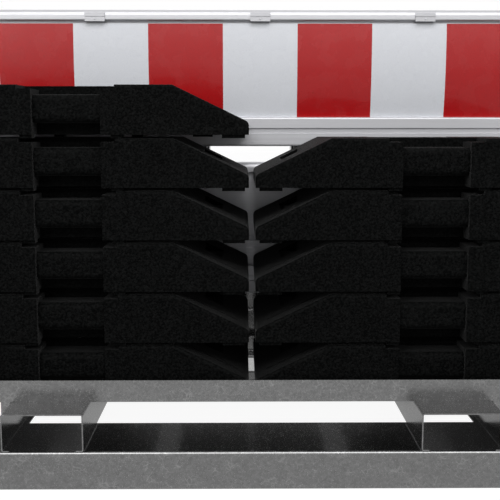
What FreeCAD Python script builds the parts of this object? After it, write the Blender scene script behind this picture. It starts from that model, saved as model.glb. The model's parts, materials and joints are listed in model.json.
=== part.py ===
"""Ballasted traffic barricade: a steel skid base with fork pockets and a tray of rubber foot plates,
and two aluminium boards on a pair of posts behind the tray. Millimetres, +Z up.

The origin is on the ground, under the middle of the boards in X and under the middle of the base in Y.
The boards face -Y. The base stands a little to -X of the boards' middle.
"""
import FreeCAD, Part
import os
import re

import Sketcher

SIZES = {
    # boards
    "board_length": 2200,
    "board_height": 362,
    "board_depth": 40,
    "board_pitch": 405,
    "board_gap": 1,
    "top_board_base": 750,
    "board_wall": 3,
    "end_cap_thickness": 3,
    "field_width": 200,
    "film_thickness": 0.6,
    "face_low": 78,
    "face_high": 326,
    "face_lean": 14.5,
    "face_radius": 1000,
    "bead_height": 29,
    "bead_reach": 10,
    "bead_bend": 15,
    "bead_lip_bend": 4,
    "bead_groove_depth": 7,
    "bead_groove_height": 6,
    "ledge_reach": 1,
    "ledge_bend": 5,
    "ledge_groove_low": 34,
    "ledge_groove_high": 49,
    "ledge_groove_depth": 6,
    "ledge_groove_slope": 2,
    "back_bend": 4,
    "slot_low": 110,
    "slot_high": 250,
    "slot_mouth": 11,
    "slot_width": 22,
    "slot_depth": 9,
    # clips on the top board
    "clip_pitch": 440,
    "clip_width": 53,
    "clip_height": 25,
    "clip_thickness": 4,
    "clip_top_drop": 7,
    "clip_line": 1,
    "clip_fit": 0.2,
    "clip_screw_radius": 2.6,
    "clip_screw_head": 1.6,
    # ribbed rail on the lower board
    "ribbed_rail_base": 86,
    "ribbed_rail_height": 60,
    "ribbed_rail_thickness": 12,
    "rib_depth": 4,
    "rail_fit": 0.1,
    # posts and what holds the boards to them
    "post_width": 80,
    "post_wall": 4,
    "post_bend": 8,
    "post_gap": 225,
    "post_top": 1096,
    "post_cap_thickness": 4,
    "beam_height": 120,
    "beam_length": 1114,
    "tie_plate_height": 130,
    "tie_plate_thickness": 6,
    "clamp_length": 180,
    "clamp_height": 50,
    "clamp_thickness": 6,
    "clamp_bolt_radius": 5,
    "clamp_bolt_spread": 130,
    "clamp_nut_width": 16,
    "clamp_nut_height": 8,
    "bolt_head_thickness": 6,
    "bolt_clearance": 0.4,
    # base
    "base_offset": -26,
    "base_depth": 900,
    "skid_length": 1700,
    "skid_width": 211,
    "skid_height": 87,
    "skid_wall": 4,
    "skid_lip": 24,
    "skid_bend": 6,
    "pocket_width": 182,
    "pocket_height": 86,
    "pocket_wall": 3,
    "pocket_lip": 17,
    "pocket_bend": 5,
    "pocket_spread": 932,
    "pocket_setback": 2,
    # tray
    "tray_setback": 96,
    "rail_height": 51,
    "rail_thickness": 8,
    "rail_bend": 3,
    "plate_clearance": 12,
    "bearer_width": 60,
    "leg_width": 22,
    "leg_depth": 50,
    "leg_thickness": 4,
    # ballast plates
    "plate_length": 820,
    "plate_depth": 420,
    "plate_pitch": 119,
    "plate_gap": 15,
    "plate_flat": 476,
    "plate_end_height": 36,
    "plate_corner": 13,
    "plate_edge": 7,
    "plate_foot": 7.5,
    "plate_foot_depth": 30,
    "plate_foot_inset": 5,
    "shelf_width": 218,
    "shelf_drop": 9,
    "grip_width": 154,
    "grip_drop": 21,
    "grip_back": 90,
    "grip_setback": 12,
    "grip_bend": 15,
    "grip_height": 64,
    "finger_depth": 60,
    "hole_width": 46,
    "hole_depth": 140,
    "hole_place": 323,
    "hole_sink": 14,
    "seam_width": 4,
    "seam_sink": 3,
    "seam_inset": 60,
}
LEFT_PLATES = 6
RIGHT_PLATES = 5
RIBS = 7
FRONT_FEET = (("-375", "52"), ("-90", "31"), ("112", "26"), ("375", "52"))
REAR_FEET = (("-290", "52"), ("-88", "31"), ("115", "26"), ("290", "52"))

doc = FreeCAD.newDocument("barricade")
sheet = doc.addObject("Spreadsheet::Sheet", "Sizes")
for row, (alias, size) in enumerate(SIZES.items(), start=1):
    sheet.set(f"A{row}", alias)
    sheet.set(f"B{row}", str(size))
    sheet.setAlias(f"B{row}", alias)
doc.recompute()
NODES = []


def bound(formula):
    """The formula with every size name pointing at its cell in the sheet."""
    return re.sub(r"[a-z]\w+", lambda word: f"Sizes.{word[0]}" if word[0] in SIZES else word[0], formula)


def value(formula):
    """What a formula comes to now, as a plain number."""
    return float(sheet.evalExpression(bound(formula)))


def node(label, thing):
    """Name an object as one of the files that are written."""
    thing.Label = label
    NODES.append(thing)
    return thing


def place(thing, x="0", y="0", z="0", turn=None):
    """Put an object where three formulas say, turned about an axis by some degrees."""
    if turn:
        thing.Placement = FreeCAD.Placement(FreeCAD.Vector(), FreeCAD.Rotation(FreeCAD.Vector(*turn[0]), turn[1]))
    for axis, formula in zip("xyz", (x, y, z)):
        thing.setExpression(f".Placement.Base.{axis}", bound(formula))
    return thing


# ---- outlines -------------------------------------------------------------------------------------

def shifted(formula, step, radius):
    """A formula moved by a radius up (1), down (-1) or not at all (0)."""
    return {0: formula, 1: f"{formula} + {radius}", -1: f"{formula} - {radius}"}[step]


def rounded(corners):
    """The edges of a closed outline, from its corners (u, v) or (u, v, radius).

    Each edge is (u, v, radius, towards): where it starts and, if it is an arc, its radius and the point
    that it bulges towards. A rounded corner joins two edges that run along the axes. A corner with
    four parts is the start of an arc already, and stays as it is.
    """
    edges = []
    for index, corner in enumerate(corners):
        if len(corner) != 3:
            edges.append((*corner, None, None)[:4])
            continue
        u, v, radius = corner
        for other in (corners[index - 1], corners[(index + 1) % len(corners)]):
            step = [value(far) - value(near) for far, near in zip(other, corner[:2])]
            longest = max(abs(part) for part in step)
            steps = [round(part / longest) for part in step]
            start = (shifted(u, steps[0], radius), shifted(v, steps[1], radius))
            edges.append((*start, radius, (u, v)) if other is corners[index - 1] else (*start, None, None))
    return edges


def arc_towards(start, end, radius, towards):
    """An arc of a circle from start to end that bulges towards a point."""
    chord = end - start
    middle = (start + end) / 2
    side = FreeCAD.Vector(-chord.y, chord.x, 0).normalize()
    if side.dot(towards - middle) < 0:
        side = -side
    centre = middle - side * (radius ** 2 - (chord.Length / 2) ** 2) ** 0.5
    return Part.Arc(start, centre + side * radius, end)


def point(u, v):
    """Two formulas as a point in a sketch."""
    return FreeCAD.Vector(value(u), value(v), 0)


def first_end(sketch, edge, start):
    """Which end of an edge, 1 or 2, lies at its start: an arc may have been turned round."""
    return 1 if sketch.getPoint(edge, 1).distanceToPoint(start) < 1e-6 else 2


def bind(sketch, rule, formula):
    """Add a constraint whose number comes from the sheet."""
    number = sketch.addConstraint(rule)
    sketch.setExpression(f"Constraints[{number}]", bound(formula))


def add_outline(sketch, edges):
    """Draw a closed outline in a sketch, with every point and radius bound to the sheet."""
    first = sketch.GeometryCount
    starts = [point(u, v) for u, v, _, _ in edges]
    ends = starts[1:] + starts[:1]
    for start, end, (_, _, radius, towards) in zip(starts, ends, edges):
        line = Part.LineSegment(start, end)
        arc = radius and arc_towards(start, end, value(radius), point(*towards))
        sketch.addGeometry(arc or line, False)
    sides = [first_end(sketch, first + index, start) for index, start in enumerate(starts)]
    for index, (u, v, radius, _) in enumerate(edges):
        edge = first + index
        after = (index + 1) % len(edges)
        rule = Sketcher.Constraint("Coincident", edge, 3 - sides[index], first + after, sides[after])
        sketch.addConstraint(rule)
        for kind, formula in (("DistanceX", u), ("DistanceY", v)):
            rule = Sketcher.Constraint(kind, -1, 1, edge, sides[index], value(formula))
            bind(sketch, rule, formula)
        if radius:
            bind(sketch, Sketcher.Constraint("Radius", edge, value(radius)), radius)


def new_sketch(body, role):
    """A sketch on one of a body's own planes: XY_Plane, XZ_Plane or YZ_Plane."""
    sketch = body.newObject("Sketcher::SketchObject", "Sketch")
    plane = [thing for thing in body.Origin.OriginFeatures if thing.Role == role][0]
    sketch.AttachmentSupport = (plane, "")
    sketch.MapMode = "FlatFace"
    return sketch


def profile(role, length, *outlines):
    """A body padded from its outlines, half the length each way from the plane."""
    body = doc.addObject("PartDesign::Body", "Profile")
    sketch = new_sketch(body, role)
    for outline in outlines:
        add_outline(sketch, rounded(outline))
    pad = body.newObject("PartDesign::Pad", "Pad")
    pad.Profile = sketch
    pad.Midplane = True
    pad.setExpression("Length", bound(length))
    doc.recompute()
    return body


def pocket(body, role, length, outline, offset="0"):
    """Cut an outline out of a body, half the length each way from a plane, which may be offset."""
    before = body.Shape.Volume
    sketch = new_sketch(body, role)
    sketch.setExpression(".AttachmentOffset.Base.z", bound(offset))
    add_outline(sketch, rounded(outline))
    cut = body.newObject("PartDesign::Pocket", "Pocket")
    cut.Profile = sketch
    cut.Midplane = True
    cut.setExpression("Length", bound(length))
    doc.recompute()
    if not body.Shape.Volume < before:
        raise RuntimeError(f"a pocket in {body.Name} cuts nothing")
    return cut


def box(x, y, z, length, width, height):
    """A plain block with its lowest corner at three formulas."""
    block = doc.addObject("Part::Box", "Block")
    for side, formula in zip(("Length", "Width", "Height"), (length, width, height)):
        block.setExpression(side, bound(formula))
    return place(block, x, y, z)


def cylinder(x, y, z, radius, height, turn=None):
    """A rod from a point, along +Z unless it is turned."""
    rod = doc.addObject("Part::Cylinder", "Rod")
    rod.setExpression("Radius", bound(radius))
    rod.setExpression("Height", bound(height))
    return place(rod, x, y, z, turn)


def group(label, things):
    """Several separate solids in one node."""
    compound = doc.addObject("Part::Compound", "Group")
    compound.Links = things
    return node(label, compound)


def cut(base, tool):
    """One solid less another."""
    result = doc.addObject("Part::Cut", "Cut")
    result.Base = base
    result.Tool = tool
    return result


def fuse(*things):
    """Several solids as one."""
    result = doc.addObject("Part::MultiFuse", "Fuse")
    result.Shapes = things
    return result


# ---- places that several pieces share -------------------------------------------------------------

MIDDLE = "base_offset"
BASE_FRONT = "(-base_depth / 2)"
POCKET_TOP = "(skid_height + pocket_height)"
TRAY_FRONT = f"({BASE_FRONT} + tray_setback)"
PLATE_FRONT = f"({TRAY_FRONT} + rail_thickness + plate_clearance)"
PLATE_MIDDLE = f"({PLATE_FRONT} + plate_depth / 2)"
TRAY_BACK = f"({PLATE_FRONT} + plate_depth + plate_clearance + rail_thickness)"
TRAY_DEPTH = f"({TRAY_BACK} - {TRAY_FRONT})"
TRAY_HALF = "(plate_length + plate_gap / 2 + plate_clearance + rail_thickness)"
PLATE_BASE = f"({POCKET_TOP} + rail_thickness)"
BOARD_FACE = f"({TRAY_BACK} + board_gap)"
BOARD_BACK = f"({BOARD_FACE} + board_depth)"
POST_FRONT = f"({BOARD_BACK} + clamp_thickness)"
POST_MIDDLE = f"({POST_FRONT} + post_width / 2)"
POST_SIDE = "(post_gap / 2 + post_width / 2)"
BEAM_TOP = f"({POCKET_TOP} + beam_height)"
LOWER_BASE = "(top_board_base - board_pitch)"
RAIL_TOP = "(ribbed_rail_base + ribbed_rail_height)"
TO_FRONT = ((1, 0, 0), 90)
TO_BACK = ((1, 0, 0), -90)


# ---- base -----------------------------------------------------------------------------------------

def block_outline(low_u, low_v, high_u, high_v, *radius):
    """Outline of a rectangle, with its corners rounded if a radius is given."""
    return [(low_u, low_v, *radius), (high_u, low_v, *radius),
            (high_u, high_v, *radius), (low_u, high_v, *radius)]


def lipped_channel(wide, tall, wall, lip, bend):
    """Outline of a folded channel, open at the bottom, with a lip along each lower edge."""
    half = f"{wide} / 2"
    inner = f"({bend} - {wall})"
    return [
        (f"-{half} + {lip}", "0"),
        (f"-{half} + {lip}", wall),
        (f"-{half} + {wall}", wall, inner),
        (f"-{half} + {wall}", f"{tall} - {wall}", inner),
        (f"{half} - {wall}", f"{tall} - {wall}", inner),
        (f"{half} - {wall}", wall, inner),
        (f"{half} - {lip}", wall),
        (f"{half} - {lip}", "0"),
        (half, "0", bend),
        (half, tall, bend),
        (f"-{half}", tall, bend),
        (f"-{half}", "0", bend),
    ]


def skids():
    """Two broad folded channels that lie across the base and carry everything."""
    outline = lipped_channel("skid_width", "skid_height", "skid_wall", "skid_lip", "skid_bend")
    for label, side in (("front_skid", -1), ("rear_skid", 1)):
        body = profile("YZ_Plane", "skid_length", outline)
        place(body, MIDDLE, f"{side} * (base_depth - skid_width) / 2")
        node(label, body)


def fork_pockets():
    """Two folded channels on the skids, from front to rear, that a fork lift's forks go into."""
    outline = lipped_channel("pocket_width", "pocket_height", "pocket_wall", "pocket_lip", "pocket_bend")
    for label, side in (("left_fork_pocket", -1), ("right_fork_pocket", 1)):
        body = profile("XZ_Plane", "base_depth - 2 * pocket_setback", outline)
        place(body, f"{MIDDLE} + {side} * pocket_spread / 2", "0", "skid_height")
        node(label, body)


def angle(side):
    """Outline of an angle bar with its corner at the bottom, its foot towards +u (1) or -u (-1)."""
    return [
        ("0", "0"),
        (f"{side} * rail_height", "0"),
        (f"{side} * rail_height", "rail_thickness", "rail_bend"),
        (f"{side} * rail_thickness", "rail_thickness", "rail_bend"),
        (f"{side} * rail_thickness", "rail_height", "rail_bend"),
        ("0", "rail_height"),
    ]


def tray():
    """A frame of angle bars on the pockets. Flat bars between them carry the ballast plates."""
    for label, side, y in (("tray_front_rail", 1, TRAY_FRONT), ("tray_rear_rail", -1, TRAY_BACK)):
        body = profile("YZ_Plane", f"2 * {TRAY_HALF}", angle(side))
        node(label, place(body, MIDDLE, y, POCKET_TOP))
    for label, side in (("tray_left_rail", -1), ("tray_right_rail", 1)):
        body = profile("XZ_Plane", f"{TRAY_DEPTH} - 2 * rail_thickness", angle(-side))
        for end in (-1, 1):
            corner = f"{end} * ({TRAY_DEPTH} / 2 - rail_thickness)"
            cope = f"{end} * ({TRAY_DEPTH} / 2 - rail_height)"
            outside = f"{side} * rail_thickness"
            inside = f"{-side} * 2 * rail_height"
            pocket(body, "XY_Plane", "2 * (rail_thickness + rail_bend)",
                   block_outline(outside, corner, inside, cope))
        place(body, f"{MIDDLE} + {side} * {TRAY_HALF}", f"({TRAY_FRONT} + {TRAY_BACK}) / 2", POCKET_TOP)
        node(label, body)
    stack_middle = "(plate_length + plate_gap) / 2"
    bearers = []
    for stack in (-1, 1):
        for offset in ("-plate_length / 4", "plate_length / 4"):
            x = f"{MIDDLE} + {stack} * {stack_middle} + {offset} - bearer_width / 2"
            start = f"{TRAY_FRONT} + rail_height"
            bearers.append(box(x, start, POCKET_TOP, "bearer_width", f"{TRAY_DEPTH} - 2 * rail_height",
                               "rail_thickness"))
    group("tray_bearers", bearers)
    for label, side in (("left_tray_leg", -1), ("right_tray_leg", 1)):
        outline = [("0", "0"), (f"{side} * leg_width", "0"), (f"{side} * leg_width", "leg_thickness"),
                   (f"{side} * leg_thickness", "leg_thickness"), (f"{side} * leg_thickness", "leg_depth"),
                   ("0", "leg_depth")]
        body = profile("XY_Plane", "pocket_height", outline)
        outer = f"{MIDDLE} + {side} * (pocket_spread + pocket_width) / 2"
        place(body, outer, TRAY_FRONT, "skid_height + pocket_height / 2")
        node(label, body)


# ---- posts ----------------------------------------------------------------------------------------

def tube(u_half, v_half):
    """Outer and inner outline of a tube with round corners."""
    inner_bend = "(post_bend - post_wall)"
    outer = block_outline(f"-{u_half}", f"-{v_half}", u_half, v_half, "post_bend")
    inner = block_outline(f"-{u_half} + post_wall", f"-{v_half} + post_wall",
                          f"{u_half} - post_wall", f"{v_half} - post_wall", inner_bend)
    return outer, inner


def posts():
    """A beam across the two fork pockets, two posts that stand on it and a plate that ties them."""
    beam = profile("YZ_Plane", "beam_length", *tube("post_width / 2", "beam_height / 2"))
    node("post_beam", place(beam, MIDDLE, POST_MIDDLE, f"{POCKET_TOP} + beam_height / 2"))
    post_height = f"(post_top - {BEAM_TOP})"
    caps = []
    for label, side in (("left_post", -1), ("right_post", 1)):
        x = f"{MIDDLE} + {side} * {POST_SIDE}"
        body = profile("XY_Plane", post_height, *tube("post_width / 2", "post_width / 2"))
        node(label, place(body, x, POST_MIDDLE, f"{BEAM_TOP} + {post_height} / 2"))
        lid = profile("XY_Plane", "post_cap_thickness",
                      block_outline("-post_width / 2", "-post_width / 2", "post_width / 2",
                                    "post_width / 2", "post_bend"))
        caps.append(place(lid, x, POST_MIDDLE, "post_top + post_cap_thickness / 2"))
    group("post_caps", caps)
    tie = box(f"{MIDDLE} - post_gap / 2", f"{POST_FRONT} + post_bend", BEAM_TOP, "post_gap",
              "tie_plate_thickness", "tie_plate_height")
    node("post_tie_plate", tie)


# ---- boards ---------------------------------------------------------------------------------------

def board_outline():
    """Outer outline of a board, seen from its end: u runs back from the top of its face, v up."""
    front = "-ledge_reach"
    groove_back = "ledge_groove_depth - ledge_reach"
    slope = "ledge_groove_slope"
    slots = []
    for middle in ("slot_high", "slot_low"):
        mouth_depth = "board_depth - board_wall"
        floor = "board_depth - board_wall - slot_depth"
        high, low = (f"{middle} {sign} slot_mouth / 2" for sign in "+-")
        wide_high, wide_low = (f"{middle} {sign} slot_width / 2" for sign in "+-")
        slots += [("board_depth", high), (mouth_depth, high), (mouth_depth, wide_high), (floor, wide_high),
                  (floor, wide_low), (mouth_depth, wide_low), (mouth_depth, low), ("board_depth", low)]
    return [
        ("board_depth", "0", "back_bend"),
        (front, "0", "ledge_bend"),
        (front, "ledge_groove_low"),
        (groove_back, f"ledge_groove_low + {slope}"),
        (groove_back, f"ledge_groove_high - {slope}"),
        (front, "ledge_groove_high"),
        (front, "face_low", "ledge_bend"),
        ("face_lean", "face_low", "face_radius", ("-face_radius", "face_low")),
        ("0", "face_high"),
        ("0", "board_height - bead_height - bead_groove_height"),
        ("bead_groove_depth", "board_height - bead_height - bead_groove_height"),
        ("bead_groove_depth", "board_height - bead_height"),
        ("-bead_reach", "board_height - bead_height", "bead_lip_bend"),
        ("-bead_reach", "board_height", "bead_bend"),
        ("board_depth", "board_height", "back_bend"),
        *slots,
    ]


def face_at(level):
    """How far back a board's curved face lies at a level above the board's foot."""
    return (f"(face_lean * (face_high - {level}) / (face_high - face_low)"
            f" - ({level} - face_low) * (face_high - {level}) / (2 * face_radius))")


def board_chambers():
    """The hollows along a board: plain ones in its foot and bead, and curved ones behind its face."""
    wall = "board_wall"
    back = f"board_depth - {wall}"
    slot_floor = f"{back} - slot_depth - {wall}"
    web = f"(slot_width / 2 + {wall})"
    middle = "(slot_low + slot_high) / 2"
    chambers = [
        block_outline("ledge_bend / 4", f"{wall} * 2", back, f"ledge_groove_low - {wall}"),
        block_outline("ledge_bend / 4", f"ledge_groove_high + {wall}", back, "face_low - ledge_bend"),
        block_outline(f"{wall} - bead_reach + 1", "board_height - bead_height + bead_lip_bend", back,
                      "board_height - bead_bend * 2 / 3"),
    ]
    curved = [
        (f"(face_low + {wall})", f"(slot_low - {web})", back),
        ("(slot_low - slot_width / 2)", "(slot_low + slot_width / 2)", slot_floor),
        (f"(slot_low + {web})", f"({middle} - {wall} / 2)", back),
        (f"({middle} + {wall} / 2)", f"(slot_high - {web})", back),
        ("(slot_high - slot_width / 2)", "(slot_high + slot_width / 2)", slot_floor),
        (f"(slot_high + {web})", f"(face_high - {wall})", back),
    ]
    for low, high, rear in curved:
        front = (f"{face_at(low)} + {wall}", low, f"(face_radius - {wall})", ("-face_radius", low))
        chambers.append([(rear, low), front, (f"{face_at(high)} + {wall}", high), (rear, high)])
    return chambers


def boards():
    """Two hollow aluminium boards, and a cap that closes each end."""
    core = "board_length - 2 * end_cap_thickness"
    for name, base in (("top", "top_board_base"), ("lower", LOWER_BASE)):
        body = profile("YZ_Plane", core, board_outline(), *board_chambers())
        node(f"{name}_board", place(body, "0", BOARD_FACE, base))
        caps = []
        for side in (-1, 1):
            lid = profile("YZ_Plane", "end_cap_thickness", board_outline())
            x = f"{side} * (board_length - end_cap_thickness) / 2"
            caps.append(place(lid, x, BOARD_FACE, base))
        group(f"{name}_board_end_caps", caps)


def sheeting():
    """Upright fields of reflective film on the top board's curved face, red at both ends."""
    count = round(value("board_length / field_width"))
    skin = "film_thickness"
    outline = [
        ("face_lean", "face_low", "face_radius", ("-face_radius", "face_low")),
        ("0", "face_high"),
        (f"-{skin}", "face_high", f"(face_radius + {skin})", ("-face_radius", "face_low")),
        (f"face_lean - {skin}", "face_low"),
    ]
    fields = {"red_sheeting": [], "white_sheeting": []}
    for index in range(count):
        colour = "white_sheeting" if index % 2 else "red_sheeting"
        width = "field_width"
        x = f"({index} - ({count} - 1) / 2) * field_width"
        if index in (0, count - 1):
            width = "field_width - end_cap_thickness"
            x += f" {'+' if index == 0 else '-'} end_cap_thickness / 2"
        fields[colour].append(place(profile("YZ_Plane", width, outline), x, BOARD_FACE, "top_board_base"))
    for label, things in fields.items():
        group(label, things)


def clips():
    """Clips over the top board's bead, each with a line across it, a hook below and one screw."""
    high = "board_height - clip_top_drop"
    low = f"{high} - clip_height"
    back = "-bead_reach - clip_fit"
    front = f"{back} - clip_thickness"
    line = f"{high} - clip_height / 2"
    bead_low = "board_height - bead_height"
    outline = [
        (back, high),
        (front, high, "clip_line"),
        (front, f"{line} + clip_line"),
        (f"{front} + clip_line", line),
        (front, f"{line} - clip_line"),
        (front, low, "clip_line"),
        ("0", low),
        ("0", f"{bead_low} - clip_fit"),
        (back, f"{bead_low} - clip_fit"),
    ]
    screw_level = f"({line} + {low}) / 2"
    half = int(value("(board_length / 2 - clip_width) / clip_pitch"))
    bodies = []
    screws = []
    for index in range(-half, half + 1):
        body = profile("YZ_Plane", "clip_width", outline)
        x = f"{index} * clip_pitch"
        place(body, x, BOARD_FACE, "top_board_base")
        y = f"{BOARD_FACE} - bead_reach - clip_fit"
        z = f"top_board_base + {screw_level}"
        hole = cylinder(x, y, z, "clip_screw_radius / 2", "2 * clip_thickness", TO_FRONT)
        bodies.append(cut(body, hole))
        shank = cylinder(x, y, z, "clip_screw_radius / 2", "clip_thickness", TO_FRONT)
        head = cylinder(x, f"{y} - clip_thickness", z, "clip_screw_radius", "clip_screw_head", TO_FRONT)
        screws.append(fuse(shank, head))
    group("sheeting_clips", bodies)
    group("clip_screws", screws)


def ribbed_rail():
    """A ribbed strip along the lower board, flat behind and resting on the curve of its face."""
    back = f"{face_at(RAIL_TOP)} - rail_fit"
    front = f"({back} - ribbed_rail_thickness)"
    groove = f"({front} + rib_depth)"
    step = f"(ribbed_rail_height / {2 * RIBS - 1})"
    outline = [(back, "0"), (back, "ribbed_rail_height")]
    for index in range(RIBS):
        high = f"ribbed_rail_height - {2 * index} * {step}"
        low = f"{high} - {step}"
        outline += [(front, high), (front, low), (groove, low), (groove, f"{low} - {step}")]
    outline = outline[:-2]
    body = profile("YZ_Plane", "board_length - 2 * end_cap_thickness", outline)
    place(body, "0", BOARD_FACE, f"{LOWER_BASE} + ribbed_rail_base")
    node("ribbed_rail", body)


def clamps():
    """Flat bars on the posts, each held to a slot in a board's back by two hammer-head bolts."""
    bars = []
    bolts = []
    nuts = []
    for base in ("top_board_base", LOWER_BASE):
        for slot in ("slot_low", "slot_high"):
            for side in (-1, 1):
                x = f"{MIDDLE} + {side} * {POST_SIDE}"
                z = f"{base} + {slot}"
                bar = box(f"{x} - clamp_length / 2", BOARD_BACK, f"{z} - clamp_height / 2",
                          "clamp_length", "clamp_thickness", "clamp_height")
                for end in (-1, 1):
                    bolt_x = f"{x} + {end} * clamp_bolt_spread / 2"
                    bar = cut(bar, cylinder(bolt_x, BOARD_BACK, z, "clamp_bolt_radius + bolt_clearance",
                                            "clamp_thickness", TO_BACK))
                    bolts.append(hammer_head_bolt(bolt_x, z))
                    nuts.append(nut(bolt_x, z))
                bars.append(bar)
    group("board_clamps", bars)
    group("clamp_bolts", bolts)
    group("clamp_nuts", nuts)


def hammer_head_bolt(x, z):
    """A bolt whose flat head bears on the lips of a board's slot from inside."""
    side = "(slot_width - 4 * bolt_clearance)"
    lips = f"{BOARD_BACK} - board_wall"
    head = box(f"{x} - {side} / 2", f"{lips} - bolt_head_thickness", f"{z} - {side} / 2",
               side, "bolt_head_thickness", side)
    reach = "board_wall + clamp_thickness + clamp_nut_height * 1.5"
    return fuse(head, cylinder(x, lips, z, "clamp_bolt_radius", reach, TO_BACK))


def nut(x, z):
    """A hexagon nut on the back of a clamp bar."""
    start = f"{BOARD_BACK} + clamp_thickness"
    prism = doc.addObject("Part::Prism", "Hexagon")
    prism.Polygon = 6
    prism.setExpression("Circumradius", bound("clamp_nut_width / sqrt(3)"))
    prism.setExpression("Height", bound("clamp_nut_height"))
    place(prism, x, start, z, TO_BACK)
    hole = cylinder(x, start, z, "clamp_bolt_radius + bolt_clearance / 4", "clamp_nut_height", TO_BACK)
    return cut(prism, hole)


# ---- ballast plates -------------------------------------------------------------------------------

def edges_where(feature, test):
    """Names of a feature's edges whose two ends both pass a test."""
    names = []
    for index, edge in enumerate(feature.Shape.Edges, start=1):
        if all(test(vertex.Point) for vertex in edge.Vertexes):
            names.append(f"Edge{index}")
    return names


def round_edges(body, names, radius):
    """Round some edges of a body's last feature."""
    last = body.Tip
    fillet = body.newObject("PartDesign::Fillet", "Round")
    fillet.Base = (last, names)
    fillet.setExpression("Radius", bound(radius))
    doc.recompute()


def plate_ends(body):
    """Round the low corners of both sloping ends, then the edges of the slopes at front and rear."""
    half = value("plate_length / 2")
    flat = value("plate_flat / 2")
    low = value("plate_end_height")
    base = value("plate_foot")

    def at_corner(spot):
        return abs(abs(spot.x) - half) < 0.01 and abs(spot.z - low) < 0.01

    def on_slope_edge(spot):
        on_side = abs(abs(spot.y) - value("plate_depth / 2")) < 0.01
        return on_side and abs(spot.x) > flat - 0.01

    round_edges(body, edges_where(body.Tip, at_corner), "plate_corner")
    names = edges_where(body.Tip, on_slope_edge)
    keep = [name for name in names if not is_bottom(body.Tip.Shape.getElement(name), base)]
    round_edges(body, keep, "plate_edge")


def is_bottom(edge, base):
    """Whether an edge lies in the underside."""
    return all(abs(vertex.Point.z - base) < 0.01 for vertex in edge.Vertexes)


def plate_feet(body):
    """Low pads under a plate: a row along the front and a row along the rear."""
    sketch = new_sketch(body, "XY_Plane")
    for side, row in ((-1, FRONT_FEET), (1, REAR_FEET)):
        edge = f"{side} * (plate_depth / 2 - plate_foot_inset)"
        inner = f"{side} * (plate_depth / 2 - plate_foot_inset - plate_foot_depth)"
        for middle, width in row:
            low, high = f"{middle} - {width} / 2", f"{middle} + {width} / 2"
            add_outline(sketch, rounded(block_outline(low, edge, high, inner)))
    pad = body.newObject("PartDesign::Pad", "Feet")
    pad.Profile = sketch
    pad.setExpression("Length", bound("plate_foot"))
    doc.recompute()


def plate_grips(body):
    """At front and rear: a shallow shelf, and in its middle a bar with a gap for fingers under it."""
    above = "(plate_pitch + plate_foot)"
    bar_top = "(plate_pitch - grip_drop)"
    bar_base = f"({bar_top} - grip_height)"
    for side in (-1, 1):
        outside, shelf_back, face, finger_back = (
            f"{side} * (plate_depth / 2 - {depth})"
            for depth in ("-plate_foot", "grip_back", "grip_setback", "finger_depth"))
        shelf = block_outline(outside, "plate_pitch - shelf_drop", shelf_back, above)
        pocket(body, "YZ_Plane", "shelf_width", shelf)
        pocket(body, "YZ_Plane", "grip_width", [
            (outside, "-plate_foot"),
            (finger_back, "-plate_foot"),
            (finger_back, bar_base),
            (face, bar_base, "grip_bend"),
            (face, bar_top, "grip_bend"),
            (shelf_back, bar_top),
            (shelf_back, above),
            (outside, above),
        ])


def plate_slopes(body):
    """A long recess in each sloping end, and a fine seam along the slope near each of its sides."""
    fall = "((plate_pitch - plate_end_height) / ((plate_length - plate_flat) / 2))"
    for side in (-1, 1):
        near, far = (f"{side} * (hole_place {sign} hole_width / 2)" for sign in "-+")
        floor = f"plate_pitch - (hole_place - plate_flat / 2) * {fall} - hole_sink"
        pocket(body, "XZ_Plane", "hole_depth", block_outline(near, floor, far, "plate_pitch"))
        inner, outer = "(plate_flat / 2 + plate_corner)", "(plate_length / 2 - 2 * plate_corner)"
        for offset in ("plate_depth / 2 - seam_inset", "-(plate_depth / 2 - seam_inset)"):
            seam = []
            for reach, rise in ((inner, -1), (outer, -1), (outer, 1), (inner, 1)):
                level = f"plate_pitch - ({reach} - plate_flat / 2) * {fall} + {rise} * seam_sink"
                seam.append((f"{side} * {reach}", level))
            pocket(body, "XZ_Plane", "seam_width", seam, offset)


def ballast_plates():
    """Moulded rubber foot plates in two stacks, each plate's feet on the one below."""
    body = profile("XZ_Plane", "plate_depth", [
        ("-plate_length / 2", "plate_foot"),
        ("plate_length / 2", "plate_foot"),
        ("plate_length / 2", "plate_end_height"),
        ("plate_flat / 2", "plate_pitch"),
        ("-plate_flat / 2", "plate_pitch"),
        ("-plate_length / 2", "plate_end_height"),
    ])
    plate_ends(body)
    plate_feet(body)
    plate_grips(body)
    plate_slopes(body)
    for stack, side, count in (("left", -1, LEFT_PLATES), ("right", 1, RIGHT_PLATES)):
        for level in range(count):
            copy = doc.addObject("Part::Compound", "Plate")
            copy.Links = [body]
            x = f"{MIDDLE} + {side} * (plate_length + plate_gap) / 2"
            place(copy, x, PLATE_MIDDLE, f"{PLATE_BASE} + {level} * plate_pitch")
            node(f"{stack}_ballast_plate_{level + 1}", copy)


# ---- the whole ------------------------------------------------------------------------------------

def check():
    """Stop if any object failed, or if any piece is missing, open or empty."""
    doc.recompute()
    for thing in doc.Objects:
        if {"Invalid", "Error"} & set(thing.State):
            raise RuntimeError(f"{thing.Name} ({thing.Label}) failed: {thing.State}")
    for thing in NODES:
        shape = thing.Shape
        if shape.isNull() or not shape.isValid() or not shape.Solids:
            raise RuntimeError(f"{thing.Label} has no sound shape")


def write():
    """Write each piece to a file with its name."""
    os.makedirs("parts", exist_ok=True)
    for thing in NODES:
        thing.Shape.exportStep(f"parts/{thing.Label}.step")
    print(len(NODES), "nodes,", sum(len(thing.Shape.Solids) for thing in NODES), "solids")


skids()
fork_pockets()
tray()
posts()
boards()
sheeting()
clips()
ribbed_rail()
clamps()
ballast_plates()
check()
write()
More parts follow.
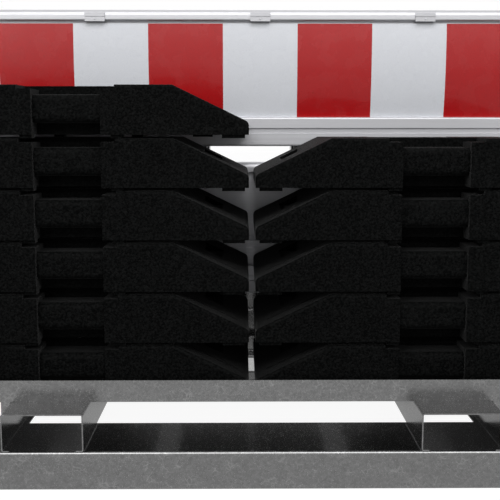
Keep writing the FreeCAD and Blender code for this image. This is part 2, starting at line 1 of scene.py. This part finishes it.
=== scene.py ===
# %% [markdown]
# # A ballasted road barricade
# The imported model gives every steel, aluminium and rubber piece at its real size and place. Nothing in it
# is moved here. This lesson gives each piece the finish it has on the road: galvanised steel with its
# spangle, drawn aluminium, glossy reflective film and grainy recycled rubber.

# %% Load the frame
import json
import math

import bmesh
import bpy
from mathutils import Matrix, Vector


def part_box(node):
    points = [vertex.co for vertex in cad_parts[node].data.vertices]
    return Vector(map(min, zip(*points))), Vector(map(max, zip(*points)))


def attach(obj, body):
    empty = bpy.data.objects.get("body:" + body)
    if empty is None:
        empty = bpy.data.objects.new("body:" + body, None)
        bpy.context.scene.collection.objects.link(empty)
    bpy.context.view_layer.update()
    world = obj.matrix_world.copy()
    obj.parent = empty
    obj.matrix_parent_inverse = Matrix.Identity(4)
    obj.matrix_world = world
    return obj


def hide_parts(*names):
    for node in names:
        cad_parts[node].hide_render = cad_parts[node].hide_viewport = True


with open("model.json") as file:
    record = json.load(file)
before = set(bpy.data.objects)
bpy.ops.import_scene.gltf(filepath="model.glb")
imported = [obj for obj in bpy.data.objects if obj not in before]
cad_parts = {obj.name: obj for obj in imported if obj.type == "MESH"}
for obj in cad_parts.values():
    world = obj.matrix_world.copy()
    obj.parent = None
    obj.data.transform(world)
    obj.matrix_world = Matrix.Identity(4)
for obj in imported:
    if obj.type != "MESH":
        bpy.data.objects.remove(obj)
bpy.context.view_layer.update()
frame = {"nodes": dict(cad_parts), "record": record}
BASE = "barrier"

# %% [markdown]
# ## A short way to write materials
# A finish is a sum of patterns: crystals plus veins plus salt. Adding nodes by hand hides that sum in
# wiring, so a small class wraps a socket and lets Python's own operators add the Math nodes.

# %% The socket class
class Wire:
    """One output socket in a material. The operators + - and * on it add Math nodes."""

    def __init__(self, paint, socket):
        self.paint = paint
        self.socket = socket

    def maths(self, operation, first, second):
        return self.paint.add("ShaderNodeMath", {"operation": operation}, {0: first, 1: second})

    def __add__(self, other):
        return self.maths("ADD", self, other)

    def __sub__(self, other):
        return self.maths("SUBTRACT", self, other)

    def __rsub__(self, other):
        return self.maths("SUBTRACT", other, self)

    def __mul__(self, other):
        return self.maths("MULTIPLY", self, other)

    __radd__ = __add__
    __rmul__ = __mul__


# %% The material class
class Paint:
    """A new material with one Principled shader, and one method that adds any other node."""

    def __init__(self, name, **shader_values):
        self.material = bpy.data.materials.new(name)
        self.material.use_nodes = True
        self.tree = self.material.node_tree
        self.shader = self.tree.nodes["Principled BSDF"]
        for socket, value in shader_values.items():
            self.shader.inputs[socket.replace("_", " ")].default_value = value
        self.place = self.add("ShaderNodeTexCoord", {}, {}, "Object")

    def add(self, kind, settings, sockets, output=0):
        """Add a node, set it up, feed its sockets with numbers, colours or wires, and return one output."""
        node = self.tree.nodes.new(kind)
        for name, value in settings.items():
            setattr(node, name, value)
        for name, value in sockets.items():
            self.feed(node.inputs[name], value)
        return Wire(self, node.outputs[output])

    def feed(self, socket, value):
        if isinstance(value, Wire):
            self.tree.links.new(value.socket, socket)
        else:
            socket.default_value = value

    def shade(self, socket, value):
        self.feed(self.shader.inputs[socket], value)

    def noise(self, size, detail=3, stretch=(1, 1, 1)):
        """Cloudy noise from 0 to 1. Its blotches are about one size across, in metres."""
        place = self.add("ShaderNodeMapping", {}, {"Vector": self.place, "Scale": stretch})
        return self.add("ShaderNodeTexNoise", {}, {"Vector": place, "Scale": 1 / size, "Detail": detail})

    def cells(self, size, output="Color", feature="F1"):
        """Flat cells, about one size across. Color is random in each, Distance grows from its middle."""
        return self.add("ShaderNodeTexVoronoi", {"feature": feature},
                        {"Vector": self.place, "Scale": 1 / size}, output)

    def grey(self, colour):
        return self.add("ShaderNodeSeparateColor", {}, {"Color": colour}, 0)

    def between(self, mask, low, high):
        """Stretch the part of a mask between two levels to the whole of 0 to 1."""
        sockets = {"Value": mask, "From Min": low, "From Max": high}
        return self.add("ShaderNodeMapRange", {"clamp": True}, sockets)

    def blend(self, mask, first, second):
        """The first colour where the mask is 0 and the second where it is 1."""
        mix = self.tree.nodes.new("ShaderNodeMix")
        mix.data_type = "RGBA"
        for index, value in ((0, mask), (6, first), (7, second)):
            self.feed(mix.inputs[index], value)
        return Wire(self, mix.outputs[2])

    def bump(self, height, depth, strength=1.0):
        """Bend the surface's normal as if height, from 0 to 1, rose by a depth in metres."""
        sockets = {"Height": height, "Distance": depth, "Strength": strength}
        self.shade("Normal", self.add("ShaderNodeBump", {}, sockets))


def grey_of(level, tint=1.0):
    """An opaque grey, a little bluer with more tint."""
    return (level, level, level * tint, 1)


# %% [markdown]
# ## Galvanised steel
# Hot zinc freezes into crystals, the spangle, each a slightly different grey and gloss. Cells give the
# crystals, fine noise mottles them, and thin pale veins run along the seams of larger cells in places.
# Wide clouds and small specks of salt are what weather leaves. Zinc is a metal, so the shader is fully
# metallic: the grey is the colour of what it reflects.

# %% Galvanised steel
def galvanised(name, level, spangle=0.005):
    paint = Paint(name, Metallic=1.0)
    crystals = paint.grey(paint.cells(spangle))
    fine = paint.noise(spangle * 0.7, 5)
    salt = paint.between(paint.noise(0.0025, 2), 0.58, 0.7)
    seams = 1 - paint.between(paint.cells(spangle * 3, "Distance", "DISTANCE_TO_EDGE"), 0.0, 0.07)
    veins = seams * paint.between(paint.noise(spangle * 6, 1), 0.52, 0.62)
    clouds = paint.noise(0.12, 4)
    tone = crystals * 0.3 + fine * 0.55 + clouds * 0.15
    base = paint.blend(tone, grey_of(level * 0.6), grey_of(level * 1.4))
    paint.shade("Base Color", paint.blend(salt * 0.3 + veins * 0.35, base, grey_of(level * 2.2)))
    paint.shade("Roughness", 0.15 + tone * 0.12 + salt * 0.1)
    paint.bump(fine * 0.4 + salt * 0.6, 0.00005)
    return paint.material


zinc_dip = galvanised("galvanised_steel", 0.21)
print("galvanised steel has", len(zinc_dip.node_tree.nodes), "nodes")

# %% [markdown]
# ## Drawn aluminium
# An extrusion leaves its die with hair lines along its length. Noise squeezed along X makes them: long
# in X, about a millimetre across. They show in the roughness more than in the colour. A thin oxide skin
# scatters light on the metal, so the shader is less than half metallic.

# %% Drawn aluminium
def drawn_aluminium(name, level):
    paint = Paint(name, Metallic=0.4)
    lines = paint.noise(0.0011, 2, (0.006, 1, 1))
    bands = paint.noise(0.012, 2, (0.01, 1, 1))
    tone = lines * 0.5 + bands * 0.5
    paint.shade("Base Color", paint.blend(tone, grey_of(level * 0.8, 1.03), grey_of(level * 1.15, 1.05)))
    paint.shade("Roughness", 0.26 + tone * 0.22)
    paint.bump(lines, 0.00003)
    return paint.material


board_metal = drawn_aluminium("drawn_aluminium", 0.55)
clip_metal = drawn_aluminium("clip_aluminium", 0.5)

# %% [markdown]
# ## Reflective film
# The film is a clear glossy skin over a coloured sheet of tiny prisms in hexagonal seals. From the
# distance of a driver it reads as one colour, and close up as a faint honeycomb under the gloss.

# %% Reflective film
def film(name, colour, seal_colour):
    paint = Paint(name, Coat_Weight=0.2, Coat_Roughness=0.05, Specular_IOR_Level=0.35)
    seals = paint.between(paint.cells(0.0045, "Distance", "DISTANCE_TO_EDGE"), 0.02, 0.06)
    dust = paint.between(paint.noise(0.05, 5), 0.45, 0.75)
    body = paint.blend(seals, seal_colour, colour)
    paint.shade("Base Color", paint.blend(dust * 0.03, body, (0.3, 0.28, 0.26, 1)))
    paint.shade("Roughness", 0.24 + dust * 0.12)
    paint.bump(seals, 0.00002)
    return paint.material


red_film = film("red_film", (0.42, 0.006, 0.008, 1), (0.35, 0.005, 0.006, 1))
white_film = film("white_film", (0.72, 0.735, 0.775, 1), (0.66, 0.675, 0.715, 1))

# %% [markdown]
# ## Recycled rubber
# The ballast plates are pressed from granules, so the surface is black with a fine pebbled grain. Cells a
# few millimetres across lift each granule, some are paler, and a little sheen catches the light on edges.

# %% Recycled rubber
def recycled_rubber(name):
    paint = Paint(name, Specular_IOR_Level=0.03, Sheen_Weight=0.07, Sheen_Roughness=0.3)
    granules = paint.cells(0.0042, "Distance")
    which = paint.grey(paint.cells(0.0042))
    grit = paint.noise(0.005, 5)
    pale = paint.between(which, 0.6, 1.0)
    wear = paint.between(paint.noise(0.09, 4), 0.5, 0.8)
    black = paint.blend(paint.between(grit, 0.42, 0.6), (0.0, 0.0001, 0.0001, 1), (0.0038, 0.004, 0.0039, 1))
    paint.shade("Base Color", paint.blend(pale * 0.5 + wear * 0.15, black, (0.008, 0.0083, 0.0083, 1)))
    paint.shade("Roughness", 0.55 + grit * 0.25)
    paint.bump((1 - granules) * 0.7 + grit * 0.3, 0.0009)
    return paint.material


rubber = recycled_rubber("recycled_rubber")

# %% [markdown]
# ## Small hardware and plastic caps
# Zinc plating is brighter and smoother than a hot dip, and moulded caps are matt with an even grain.

# %% Hardware and caps
def zinc_plate(name):
    paint = Paint(name, Metallic=1.0)
    haze = paint.noise(0.004, 3)
    paint.shade("Base Color", paint.blend(haze, (0.5, 0.51, 0.53, 1), (0.68, 0.69, 0.7, 1)))
    paint.shade("Roughness", 0.22 + haze * 0.18)
    return paint.material


def moulded_plastic(name, level):
    paint = Paint(name)
    grain = paint.noise(0.0009, 2)
    paint.shade("Base Color", paint.blend(grain, grey_of(level * 0.85), grey_of(level * 1.15)))
    paint.shade("Roughness", 0.5 + grain * 0.18)
    paint.bump(grain, 0.00008)
    return paint.material


plated = zinc_plate("zinc_plate")
cap_plastic = moulded_plastic("moulded_plastic", 0.13)

# %% [markdown]
# ## Dress the model's own nodes
# The record names a slot for every node, so the finishes are given by slot.

# %% Give the finishes
finishes = {
    "galvanised_steel": zinc_dip,
    "aluminium_profile": board_metal,
    "zinc_plated_steel": plated,
    "grey_plastic": cap_plastic,
    "red_film": red_film,
    "white_film": white_film,
    "black_rubber": rubber,
}
slots = {part["node"]: part["material_slot"] for part in frame["record"]["subparts"]}
for name, node in frame["nodes"].items():
    node.data.materials.clear()
    node.data.materials.append(clip_metal if name == "sheeting_clips" else finishes[slots[name]])
print("dressed", len(slots), "nodes in", len(finishes), "finishes")

# %% [markdown]
# ## Screws of the clips
# Each clip has one screw, with a domed head and a hexagonal drive. All five are alike and stand in a row,
# so Geometry Nodes set copies of one head on a line of points. The head itself is a profile turned round
# its axis, with six corners in the drive.

# %% One screw head
def screw_head(radius, height, sides=24):
    """A domed head that looks along -Y, with a hexagonal hole. Its seat is at the origin."""
    mesh = bpy.data.meshes.new("screw_head")
    bm = bmesh.new()
    drive = radius * 0.5
    rings = []
    dome = [(radius, 0.0), (radius, 0.35), (radius * 0.92, 0.62), (radius * 0.75, 0.85), (radius * 0.6, 0.97)]
    hole = [(drive, 1.0), (drive * 0.96, 0.3)]
    sixth = math.radians(60)
    for reach, rise in dome + hole:
        ring = []
        for step in range(sides):
            angle = 2 * math.pi * step / sides
            flat = 1.0
            if reach <= drive:
                flat = math.cos(sixth / 2) / math.cos(angle % sixth - sixth / 2)
            across, up = reach * flat * math.cos(angle), reach * flat * math.sin(angle)
            ring.append(bm.verts.new((across, -height * rise, up)))
        rings.append(ring)
    for low, high in zip(rings, rings[1:]):
        for step in range(sides):
            after = (step + 1) % sides
            bm.faces.new((low[step], low[after], high[after], high[step]))
    bm.faces.new(rings[0])
    bm.faces.new(rings[-1])
    bmesh.ops.recalc_face_normals(bm, faces=bm.faces)
    bm.to_mesh(mesh)
    bm.free()
    return bpy.data.objects.new("screw_head", mesh)


# %% A row of copies
def row_of_copies():
    """A tree that sets copies of an object on a line, from a start, by a step."""
    tree = bpy.data.node_groups.new("row_of_copies", "GeometryNodeTree")
    tree.interface.new_socket("Geometry", in_out="OUTPUT", socket_type="NodeSocketGeometry")
    for label, kind in (("Copy", "Object"), ("Count", "Int"), ("Start", "Vector"), ("Step", "Vector"),
                        ("Finish", "Material")):
        tree.interface.new_socket(label, in_out="INPUT", socket_type=f"NodeSocket{kind}")
    nodes, links = tree.nodes, tree.links
    given = nodes.new("NodeGroupInput")
    result = nodes.new("NodeGroupOutput")
    line = nodes.new("GeometryNodeMeshLine")
    source = nodes.new("GeometryNodeObjectInfo")
    copies = nodes.new("GeometryNodeInstanceOnPoints")
    real = nodes.new("GeometryNodeRealizeInstances")
    finish = nodes.new("GeometryNodeSetMaterial")
    links.new(given.outputs["Count"], line.inputs["Count"])
    links.new(given.outputs["Start"], line.inputs["Start Location"])
    links.new(given.outputs["Step"], line.inputs["Offset"])
    links.new(given.outputs["Copy"], source.inputs["Object"])
    links.new(line.outputs["Mesh"], copies.inputs["Points"])
    links.new(source.outputs["Geometry"], copies.inputs["Instance"])
    links.new(copies.outputs["Instances"], real.inputs["Geometry"])
    links.new(real.outputs["Geometry"], finish.inputs["Geometry"])
    links.new(given.outputs["Finish"], finish.inputs["Material"])
    links.new(finish.outputs["Geometry"], result.inputs["Geometry"])
    return tree


def grown(name, tree, values):
    """Run a tree with named values and return its result as a plain mesh object."""
    holder = bpy.data.objects.new(name + "_holder", bpy.data.meshes.new(name + "_holder"))
    bpy.context.scene.collection.objects.link(holder)
    modifier = holder.modifiers.new("grow", "NODES")
    modifier.node_group = tree
    sockets = {item.name: item.identifier for item in tree.interface.items_tree if item.in_out == "INPUT"}
    for label, value in values.items():
        modifier[sockets[label]] = value
    bpy.context.view_layer.update()
    evaluated = holder.evaluated_get(bpy.context.evaluated_depsgraph_get())
    mesh = bpy.data.meshes.new_from_object(evaluated)
    mesh.name = name
    bpy.data.objects.remove(holder)
    piece = bpy.data.objects.new(name, mesh)
    bpy.context.scene.collection.objects.link(piece)
    return piece


# %% The screws in their clips
SCREWS = 5
low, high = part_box("clip_screws")
head_radius = (high.z - low.z) / 2
seat = Vector((low.x + head_radius, high.y, (low.z + high.z) / 2))
step = Vector(((high.x - low.x - 2 * head_radius) / (SCREWS - 1), 0, 0))
head = screw_head(head_radius, high.y - low.y)
screws = grown("screw_heads", row_of_copies(),
               {"Copy": head, "Count": SCREWS, "Start": seat, "Step": step, "Finish": plated})
bpy.data.objects.remove(head)
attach(screws, BASE)
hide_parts("clip_screws")
print("screw heads:", len(screws.data.polygons), "faces")

# %% [markdown]
# ## Studio
# The barricade stands in an empty white studio. The floor and the world are white to the camera, the world
# is also white in reflections, and soft lamps light the object at a plain level.

# %% Floor and world
def white_floor(size=60.0, colour=0.5, strength=1.42, seen_glow=0.65, mirrored_glow=0.33):
    """A plain floor whose glow is the larger share of what the camera sees, and a smaller one in mirrors.

    The rest of each share is the lit floor itself, so the object's shadow stays on it.
    """
    mesh = bpy.data.meshes.new("floor")
    half = size / 2
    corners = [(-half, -half, 0), (half, -half, 0), (half, half, 0), (-half, half, 0)]
    mesh.from_pydata(corners, [], [(0, 1, 2, 3)])
    floor = bpy.data.objects.new("floor", mesh)
    bpy.context.scene.collection.objects.link(floor)
    paint = Paint("studio_floor", Roughness=0.9)
    paint.shade("Base Color", grey_of(colour))
    seen = paint.add("ShaderNodeLightPath", {}, {}, "Is Camera Ray")
    mirrored = paint.add("ShaderNodeLightPath", {}, {}, "Is Glossy Ray")
    glow = paint.add("ShaderNodeEmission", {}, {"Strength": strength})
    plain = Wire(paint, paint.shader.outputs[0])
    share = seen * seen_glow + mirrored * mirrored_glow
    surface = paint.add("ShaderNodeMixShader", {}, {0: share, 1: plain, 2: glow})
    paint.tree.links.new(surface.socket, paint.tree.nodes["Material Output"].inputs[0])
    mesh.materials.append(paint.material)


def white_world(level):
    """White to the camera and to reflections, and a plain grey light on everything else."""
    world = bpy.data.worlds.new("studio")
    bpy.context.scene.world = world
    world.use_nodes = True
    tree = world.node_tree
    background = tree.nodes["Background"]
    background.inputs["Color"].default_value = (1, 1, 1, 1)
    path = tree.nodes.new("ShaderNodeLightPath")
    seen = path.outputs["Is Camera Ray"]
    for kind in ("Is Glossy Ray", "Is Transmission Ray"):
        most = tree.nodes.new("ShaderNodeMath")
        most.operation = "MAXIMUM"
        tree.links.new(seen, most.inputs[0])
        tree.links.new(path.outputs[kind], most.inputs[1])
        seen = most.outputs[0]
    strength = tree.nodes.new("ShaderNodeMapRange")
    strength.inputs["To Min"].default_value = level
    strength.inputs["To Max"].default_value = 1.0
    tree.links.new(seen, strength.inputs["Value"])
    tree.links.new(strength.outputs[0], background.inputs["Strength"])


white_floor()
white_world(level=0.18)

# %% Lamps
def soft_lamp(name, place, aim, size, power):
    lamp = bpy.data.lights.new(name, "AREA")
    lamp.shape = "RECTANGLE"
    lamp.size, lamp.size_y = size
    lamp.energy = power
    holder = bpy.data.objects.new(name, lamp)
    bpy.context.scene.collection.objects.link(holder)
    holder.location = place
    holder.rotation_euler = (Vector(aim) - Vector(place)).to_track_quat("-Z", "Y").to_euler()


soft_lamp("overhead", place=(0, -2.5, 3.0), aim=(0, -0.1, 0.7), size=(4.6, 2.6), power=128)
soft_lamp("front_left", place=(-2.4, -3.4, 1.7), aim=(0, 0, 0.4), size=(1.6, 1.6), power=12)
soft_lamp("back", place=(0.6, 3.2, 2.6), aim=(0, 0, 0.5), size=(2.4, 1.6), power=12)

# %% [markdown]
# ## Camera
# It stands 1.96 m in front of the front skid's edge, a little below the barrier's top, and looks slightly
# down.

# %% Camera
PLACE = (-0.0494, -2.414, 0.797)
PITCH, YAW = 7.5, 0.5
LENS = 66.3
camera = bpy.data.objects.new("camera", bpy.data.cameras.new("camera"))
bpy.context.scene.collection.objects.link(camera)
camera.data.sensor_width = 36
camera.data.lens = LENS
camera.location = PLACE
camera.rotation_euler = (math.radians(90 - PITCH), 0, math.radians(-YAW))
bpy.context.scene.camera = camera
bpy.context.scene.view_settings.view_transform = "Standard"
